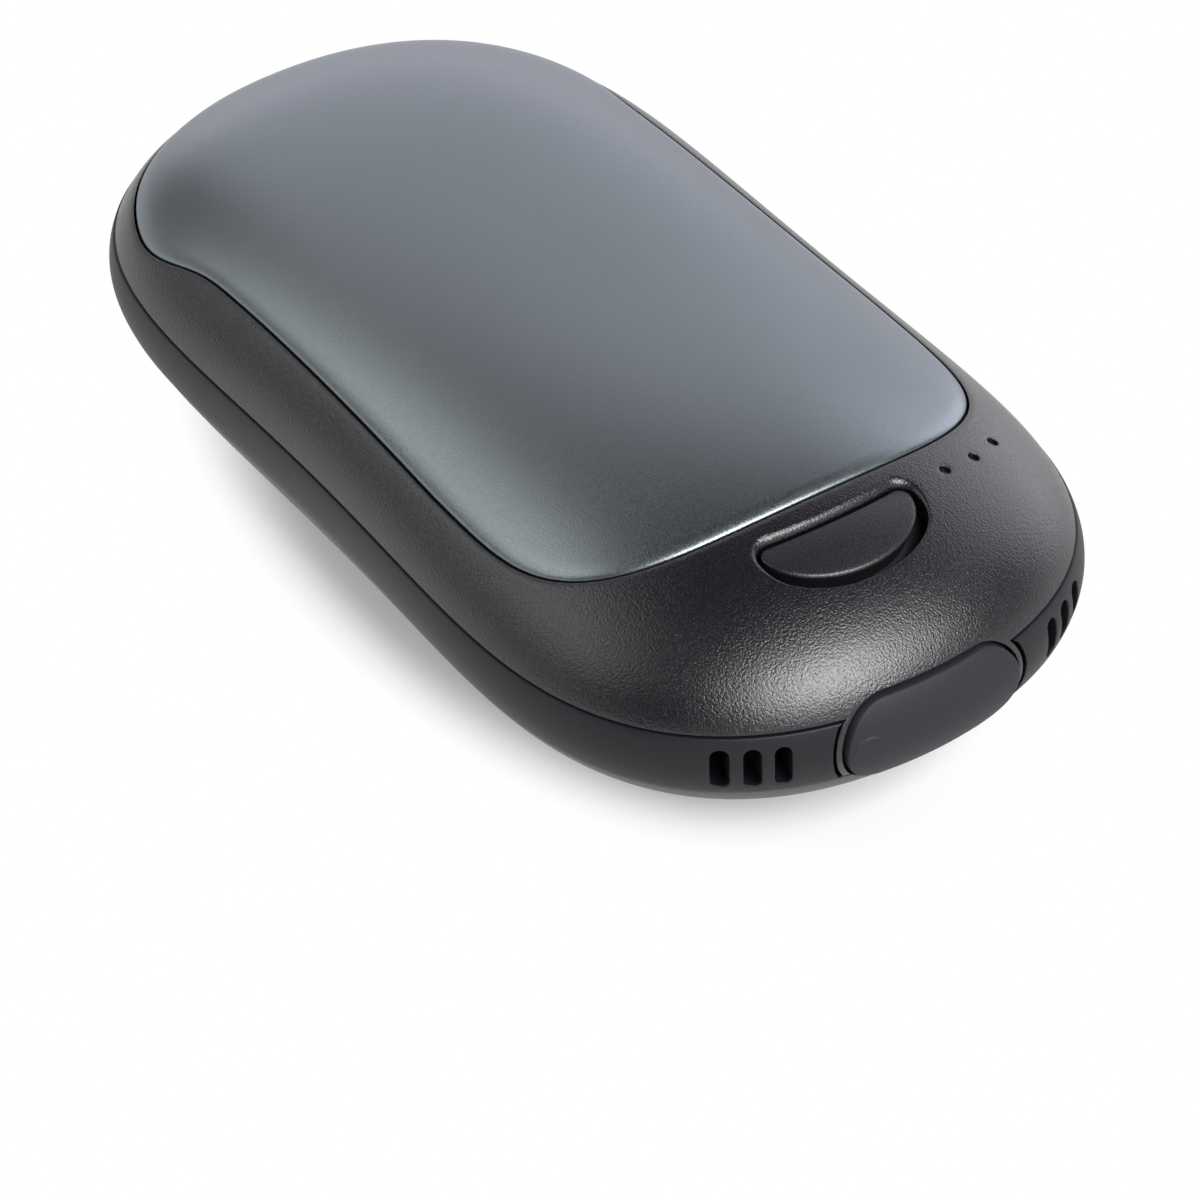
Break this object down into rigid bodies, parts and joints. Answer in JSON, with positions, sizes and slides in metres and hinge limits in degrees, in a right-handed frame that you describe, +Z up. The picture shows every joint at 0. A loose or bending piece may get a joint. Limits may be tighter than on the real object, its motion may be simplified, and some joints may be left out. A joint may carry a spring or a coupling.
{
  "type": "rechargeable hand warmer",
  "caption": "Pebble-shaped rechargeable hand warmer with metal heat plates, press button, status lights and a rubber-covered charging port.",
  "frame": {"origin": "centre of the base, on the surface that the case rests on", "axes": "+X along the length towards the charging port, +Z up through the face with the button, +Y to the side of the lights"},
  "size_m": [0.1044, 0.053, 0.0265],
  "materials": {
    "anodised_plate": "fine sandblasted and anodised gunmetal",
    "shell_black": "fine pebble grain, semi matte",
    "shell_grey": "fine grain, matte",
    "band_grey": "smooth, matte",
    "cover_rubber": "smooth soft rubber",
    "switch_white": "moulded",
    "nickel": "nickel plated sheet",
    "light_clear": "clear moulded",
    "led_white": "small white packages",
    "board_green": "solder mask",
    "chip_black": "moulded resin",
    "screw_steel": "plated steel",
    "cell_sleeve": "shrink sleeve",
    "cradle_grey": "moulded",
    "heater_film": "amber film",
    "foam_grey": "open cell foam",
    "lead_red": "insulated wire",
    "lead_white": "insulated wire"
  },
  "bodies": {
    "root": {"top_plate": "anodised_plate", "upper_shell": "shell_black", "mid_band": "band_grey", "lower_shell": "shell_grey", "bottom_plate": "anodised_plate", "port_bezel": "band_grey", "cover_anchor": "cover_rubber", "switch_body": "nickel", "light_guide": "light_clear", "indicator_leds": "led_white", "circuit_board": "board_green", "board_parts": "chip_black", "board_screws": "screw_steel", "usb_shell": "nickel", "usb_tongue": "chip_black", "cell_left": "cell_sleeve", "cell_right": "cell_sleeve", "cell_cradle": "cradle_grey", "front_strip": "nickel", "back_strip": "nickel", "upper_heater": "heater_film", "lower_heater": "heater_film", "upper_thermistor": "chip_black", "lower_thermistor": "chip_black", "upper_foam": "foam_grey", "lower_foam": "foam_grey", "case_screws": "screw_steel", "battery_leads": "lead_red", "heater_leads": "lead_white"},
    "port_cover": {"port_cover": "cover_rubber"},
    "power_button": {"power_button": "shell_black", "switch_plunger": "switch_white"}
  },
  "joints": [
    {"name": "button_press", "type": "slide", "parent": "root", "child": "power_button", "axis": [0, 0, -1], "range_m": [0, 0.0004], "stiffness_N_per_m": 2500},
    {"name": "cover_hinge", "type": "hinge", "parent": "root", "child": "port_cover", "pos_m": [0.052, -0.0043, 0.013], "axis": [0, 0, -1], "range_deg": [0, 120], "stiffness_Nm_per_rad": 0.0005}
  ]
}
